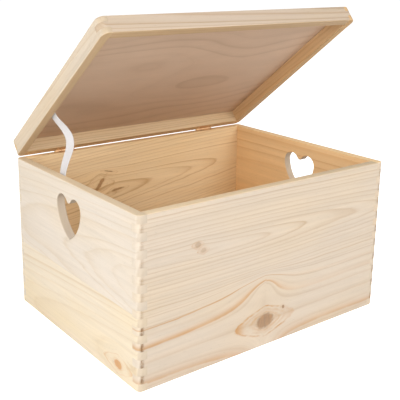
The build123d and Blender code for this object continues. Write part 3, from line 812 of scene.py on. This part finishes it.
def veneer_pattern():
    """Rotary-cut veneer: wide cloudy figure that follows the log's uneven rings."""
    tree, at, out = new_group("rotary_veneer", (("Along", 0.0), ("Across", 0.0), ("Edge", 0.0),
                                                ("Layer", 0.0), ("Figure Width", 0.03), ("Seed", 0.0)),
                              ("Roughness", "Height"), ("Pale Colour", "Dark Colour"), ("Color",))
    broad = cloudy(tree, join_axes(tree, scaled(tree, at["Along"], 3.2, at["Seed"]),
                                   times(tree, at["Across"], 7.5), at["Seed"]), 1.5, 0.45)
    figure = scaled(tree, broad, 9.0, work_out(tree, "DIVIDE", at["Across"], at["Figure Width"]))
    sweep = ring_profile(tree, work_out(tree, "FRACT", figure), 0.5,
                         ((0.12, 0.12), (0.45, 0.0), (0.75, 0.3), (0.92, 0.9)))
    year = tree.nodes.new("ShaderNodeTexWhiteNoise")
    year.noise_dimensions = "1D"
    tree.links.new(work_out(tree, "FLOOR", figure), year.inputs["W"])
    strength = scaled(tree, year.outputs["Value"], 0.34, 0.08)
    line = times(tree, sweep, strength)
    fibre = cloudy(tree, join_axes(tree, scaled(tree, at["Along"], 30.0, at["Seed"]),
                                   times(tree, at["Across"], 1300.0), 0.0), 2.0, 0.6)
    cloud = cloudy(tree, join_axes(tree, scaled(tree, at["Along"], 14.0, at["Seed"]),
                                   times(tree, at["Across"], 34.0), 2.0), 3.0, 0.6)
    colour = blend_colours(tree, line, at["Pale Colour"], at["Dark Colour"])
    shade = scaled(tree, fibre, 0.14, scaled(tree, cloud, 0.16, 0.85))
    colour = blend_colours(tree, 1.0, colour, join_axes(tree, shade, shade, shade), "MULTIPLY")
    cross_ply = blend_colours(tree, at["Layer"], colour, at["Dark Colour"])
    colour = blend_colours(tree, at["Edge"], colour, cross_ply)
    tree.links.new(colour, out.inputs["Color"])
    tree.links.new(scaled(tree, fibre, 0.16, 0.6), out.inputs["Roughness"])
    tree.links.new(scaled(tree, line, 0.5, times(tree, fibre, 0.5)), out.inputs["Height"])
    return tree


veneer_group = veneer_pattern()


def plywood_finish(name, pale, dark, low, figure_width, seed, on_lid=False):
    """A sheet's own veneer.  low is the height of its underside when the lid is shut."""
    material, tree, shader = new_finish(name)
    spot, facing = object_axes(tree, on_lid)
    edge = work_out(tree, "LESS_THAN", work_out(tree, "ABSOLUTE", facing["Z"]), 0.5)
    layer = minus(tree, spot["Z"], low + sheet_thickness / 2)
    layer = work_out(tree, "LESS_THAN", work_out(tree, "ABSOLUTE", layer), middle_veneer / 2)
    sheet = place_group(tree, veneer_group, Along=spot["X"], Across=spot["Y"], Edge=edge, Layer=layer,
                        Figure_Width=figure_width, Seed=seed, Pale_Colour=pale, Dark_Colour=dark)
    tree.links.new(sheet.outputs["Color"], shader.inputs["Base Color"])
    tree.links.new(sheet.outputs["Roughness"], shader.inputs["Roughness"])
    shader.inputs["Specular IOR Level"].default_value = 0.3
    raise_surface(tree, shader, sheet.outputs["Height"], 0.0001)
    return material


eased_board("bottom_panel", "box", plywood_finish(
    "plywood_bottom", tone(226, 198, 160), tone(188, 150, 108), 0.0, 0.03, 3.0), 0.0002)


# ---------------------------------------------------------------------------------------------
# Staples.  Bright flattened steel wire, driven by a gun: sixteen hold the bottom in its rabbet,
# one nails each end of the ribbon.  The shoulders are bent round, the crowns slightly scuffed.
staple_crown = 0.010
staple_wire = 0.0007
staple_leg = 0.008
staple_shoulder = 0.0006
bottom_spacing_long, bottom_spacing_short = 0.080, 0.090
bottom_row_y, bottom_row_x = 0.141, 0.191


def staple_tree():
    """Geometry nodes: a bent wire staple set at every given point."""
    tree = bpy.data.node_groups.new("wire_staples", "GeometryNodeTree")
    tree.interface.new_socket("Places", in_out="INPUT", socket_type="NodeSocketGeometry")
    for name, start in (("Crown Width", staple_crown), ("Leg Length", staple_leg),
                        ("Wire Size", staple_wire), ("Shoulder Radius", staple_shoulder)):
        tree.interface.new_socket(name, in_out="INPUT", socket_type="NodeSocketFloat").default_value = start
    tree.interface.new_socket("Steel", in_out="INPUT", socket_type="NodeSocketMaterial")
    tree.interface.new_socket("Staples", in_out="OUTPUT", socket_type="NodeSocketGeometry")
    given = tree.nodes.new("NodeGroupInput").outputs
    out = tree.nodes.new("NodeGroupOutput")
    inner = minus(tree, given["Crown Width"], given["Wire Size"])
    half = times(tree, inner, 0.5)
    middle = times(tree, given["Wire Size"], 0.5)
    foot = times(tree, given["Leg Length"], -1.0)
    line = tree.nodes.new("GeometryNodeMeshLine")
    line.inputs["Count"].default_value = 4
    index = tree.nodes.new("GeometryNodeInputIndex").outputs[0]
    right_side = work_out(tree, "GREATER_THAN", index, 1.5)
    sideways = times(tree, scaled(tree, right_side, 2.0, -1.0), half)
    on_crown = work_out(tree, "LESS_THAN", work_out(tree, "ABSOLUTE", minus(tree, index, 1.5)), 1.0)
    height = scaled(tree, on_crown, minus(tree, middle, foot), foot)
    move = tree.nodes.new("GeometryNodeSetPosition")
    tree.links.new(line.outputs[0], move.inputs["Geometry"])
    tree.links.new(join_axes(tree, sideways, 0.0, height), move.inputs["Position"])
    wire = tree.nodes.new("GeometryNodeMeshToCurve")
    tree.links.new(move.outputs[0], wire.inputs[0])
    bend = tree.nodes.new("GeometryNodeFilletCurve")
    bend.mode = "POLY"
    bend.inputs["Count"].default_value = 4
    bend.inputs["Limit Radius"].default_value = True
    tree.links.new(wire.outputs[0], bend.inputs["Curve"])
    tree.links.new(given["Shoulder Radius"], bend.inputs["Radius"])
    profile = tree.nodes.new("GeometryNodeCurvePrimitiveQuadrilateral")
    tree.links.new(given["Wire Size"], profile.inputs["Width"])
    tree.links.new(given["Wire Size"], profile.inputs["Height"])
    corner = tree.nodes.new("GeometryNodeFilletCurve")
    corner.mode = "POLY"
    corner.inputs["Count"].default_value = 2
    tree.links.new(profile.outputs[0], corner.inputs["Curve"])
    tree.links.new(times(tree, given["Wire Size"], 0.25), corner.inputs["Radius"])
    draw = tree.nodes.new("GeometryNodeCurveToMesh")
    draw.inputs["Fill Caps"].default_value = True
    tree.links.new(bend.outputs[0], draw.inputs["Curve"])
    tree.links.new(corner.outputs[0], draw.inputs["Profile Curve"])
    lay = tree.nodes.new("GeometryNodeInstanceOnPoints")
    tree.links.new(given["Places"], lay.inputs["Points"])
    tree.links.new(draw.outputs[0], lay.inputs["Instance"])
    heading = None
    for attribute, axis in (("leg_up", "Z"), ("crown_along", "X")):
        read = tree.nodes.new("GeometryNodeInputNamedAttribute")
        read.data_type = "FLOAT_VECTOR"
        read.inputs["Name"].default_value = attribute
        align = tree.nodes.new("FunctionNodeAlignRotationToVector")
        align.axis = axis
        if heading is not None:
            align.pivot_axis = "Z"
            tree.links.new(heading, align.inputs["Rotation"])
        tree.links.new(read.outputs[0], align.inputs["Vector"])
        heading = align.outputs[0]
    tree.links.new(heading, lay.inputs["Rotation"])
    real = tree.nodes.new("GeometryNodeRealizeInstances")
    tree.links.new(lay.outputs[0], real.inputs[0])
    paint = tree.nodes.new("GeometryNodeSetMaterial")
    tree.links.new(real.outputs[0], paint.inputs["Geometry"])
    tree.links.new(given["Steel"], paint.inputs["Material"])
    tree.links.new(paint.outputs[0], out.inputs[0])
    return tree


def steel_finish():
    material, tree, shader = new_finish("staple_steel")
    place = tree.nodes.new("ShaderNodeTexCoord").outputs["Object"]
    big = tree.nodes.new("ShaderNodeMapping")
    big.inputs["Scale"].default_value = (900, 900, 900)
    tree.links.new(place, big.inputs[0])
    scuff = cloudy(tree, big.outputs[0], 4.0, 0.6)
    colour = blend_colours(tree, scuff, tone(120, 120, 124), tone(196, 196, 198))
    tree.links.new(colour, shader.inputs["Base Color"])
    shader.inputs["Metallic"].default_value = 1.0
    tree.links.new(scaled(tree, scuff, 0.3, 0.22), shader.inputs["Roughness"])
    raise_surface(tree, shader, scuff, 0.00003)
    return material


staple_nodes = staple_tree()
staple_steel = steel_finish()


def run_nodes(name, tree, places, vectors, inputs):
    """Points with their directions go through a geometry node tree and come back a plain mesh."""
    mesh = bpy.data.meshes.new(name)
    mesh.from_pydata([tuple(p) for p in places], [], [])
    for attribute, values in vectors.items():
        layer = mesh.attributes.new(attribute, "FLOAT_VECTOR", "POINT")
        for item, value in zip(layer.data, values):
            item.vector = value
    piece = bpy.data.objects.new(name, mesh)
    bpy.context.scene.collection.objects.link(piece)
    modifier = piece.modifiers.new("make", "NODES")
    modifier.node_group = tree
    sockets = {item.name: item.identifier for item in tree.interface.items_tree
               if item.item_type == "SOCKET" and item.in_out == "INPUT"}
    for socket, value in inputs.items():
        modifier[sockets[socket]] = value
    bpy.context.view_layer.update()
    made = bpy.data.meshes.new_from_object(piece.evaluated_get(bpy.context.evaluated_depsgraph_get()))
    piece.modifiers.clear()
    piece.data = made
    bpy.data.meshes.remove(mesh)
    made.name = name
    return piece


def set_staples(name, places, ups, alongs, body, node):
    piece = run_nodes(name, staple_nodes, places, {"leg_up": ups, "crown_along": alongs},
                      {"Crown Width": staple_crown, "Leg Length": staple_leg, "Wire Size": staple_wire,
                       "Shoulder Radius": staple_shoulder, "Steel": staple_steel})
    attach(piece, body)
    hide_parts(node)


bottom_places, bottom_alongs = [], []
for i in range(-2, 3):
    for side in (-1, 1):
        bottom_places.append((i * bottom_spacing_long, side * bottom_row_y, staple_wire))
        bottom_alongs.append((1, 0, 0))
for i in range(-1, 2):
    for side in (-1, 1):
        bottom_places.append((side * bottom_row_x, i * bottom_spacing_short, staple_wire))
        bottom_alongs.append((0, 1, 0))
set_staples("bottom_staples_wire", bottom_places, [(0, 0, -1)] * len(bottom_places), bottom_alongs, "box",
            "bottom_staples")
ribbon_staple_off = 0.0014
for end, body, along in (("wall", "box", -0.017), ("lid", "lid", 0.0835)):
    spot = tape_at_rim + tape_up * along + Vector((ribbon_staple_off, 0, 0))
    set_staples("ribbon_staple_" + end + "_wire", [spot], [(1, 0, 0)], [tape_across], body,
                "ribbon_staple_" + end)


# ---------------------------------------------------------------------------------------------
# Hinges.  Two small butt hinges of pressed steel, plated an antique bronze that is dull in the
# hollows and rubbed brighter on the knuckles, each on its pin and four cross-slot screws.  Their
# leaves are let in flush with the wood.
def bronze_finish(name, dark, bright):
    material, tree, shader = new_finish(name)
    place = tree.nodes.new("ShaderNodeTexCoord").outputs["Object"]
    big = tree.nodes.new("ShaderNodeMapping")
    big.inputs["Scale"].default_value = (260, 700, 700)
    tree.links.new(place, big.inputs[0])
    brushed = cloudy(tree, big.outputs[0], 4.0, 0.6)
    wide = tree.nodes.new("ShaderNodeMapping")
    wide.inputs["Scale"].default_value = (90, 90, 90)
    tree.links.new(place, wide.inputs[0])
    tarnish = cloudy(tree, wide.outputs[0], 3.0, 0.55)
    share = scaled(tree, brushed, 0.6, scaled(tree, tarnish, 0.7, -0.15), clamp=True)
    tree.links.new(blend_colours(tree, share, dark, bright), shader.inputs["Base Color"])
    shader.inputs["Metallic"].default_value = 0.7
    tree.links.new(scaled(tree, tarnish, 0.3, 0.3), shader.inputs["Roughness"])
    raise_surface(tree, shader, brushed, 0.00003)
    return material


hinge_bronze = bronze_finish("hinge_bronze", tone(214, 172, 128), tone(252, 226, 184))
screw_bronze = bronze_finish("screw_bronze", tone(176, 136, 94), tone(232, 198, 150))
for side in ("left", "right"):
    eased_board(side + "_hinge_fixed_leaf", "box", hinge_bronze, 0.00012)
    eased_board(side + "_hinge_moving_leaf", "lid", hinge_bronze, 0.00012)
    eased_board(side + "_hinge_pin", "box", screw_bronze, 0.00015)
eased_board("hinge_screws_box", "box", screw_bronze, 0.00008)
eased_board("hinge_screws_lid", "lid", screw_bronze, 0.00008)


# ---------------------------------------------------------------------------------------------
# Lid frame.  Four pine rails, 12 by 22 mm, glued at the corners with three fingers and rounded
# over.  Each is cut from its own strip, so their tints differ.
front_rail_finish = pine_finish("pine_lid_front", "X", tone(207, 187, 166), tone(173, 138, 102),
                                tone(208, 185, 154), pith=(0.245, -0.190), lean=(0.012, 0.02),
                                ring_width=0.0036, wander=0.003, strength=0.6, seed=61.0, on_lid=True)
rear_rail_finish = pine_finish("pine_lid_rear", "X", tone(226, 200, 162), tone(188, 148, 100),
                               tone(228, 196, 150), pith=(0.190, 0.120), lean=(0.01, 0.01),
                               ring_width=0.0040, wander=0.003, strength=0.5, seed=67.0, on_lid=True)
left_rail_finish = pine_finish("pine_lid_left", "Y", tone(216, 200, 179), tone(192, 163, 123),
                               tone(220, 196, 162), pith=(0.250, -0.170), lean=(0.02, 0.02),
                               ring_width=0.0050, wander=0.004, strength=0.4, seed=71.0, on_lid=True)
right_rail_finish = pine_finish("pine_lid_right", "Y", tone(222, 186, 140), tone(184, 136, 84),
                                tone(224, 180, 126), pith=(0.180, 0.150), lean=(0.02, 0.02),
                                ring_width=0.0045, wander=0.004, strength=0.5, seed=79.0, on_lid=True)
eased_board("lid_front_rail", "lid", front_rail_finish)
eased_board("lid_rear_rail", "lid", rear_rail_finish)
eased_board("lid_left_rail", "lid", left_rail_finish)
eased_board("lid_right_rail", "lid", right_rail_finish)


# ---------------------------------------------------------------------------------------------
# Lid panel.  A 4 mm plywood sheet glued in the rails' top rabbet.  Its inside face is a greyer,
# pinkish veneer with broad faint figure.
eased_board("lid_panel", "lid", plywood_finish("plywood_lid", tone(217, 189, 164), tone(176, 142, 112),
                                               0.2283, 0.034, 9.0, on_lid=True), 0.0002)
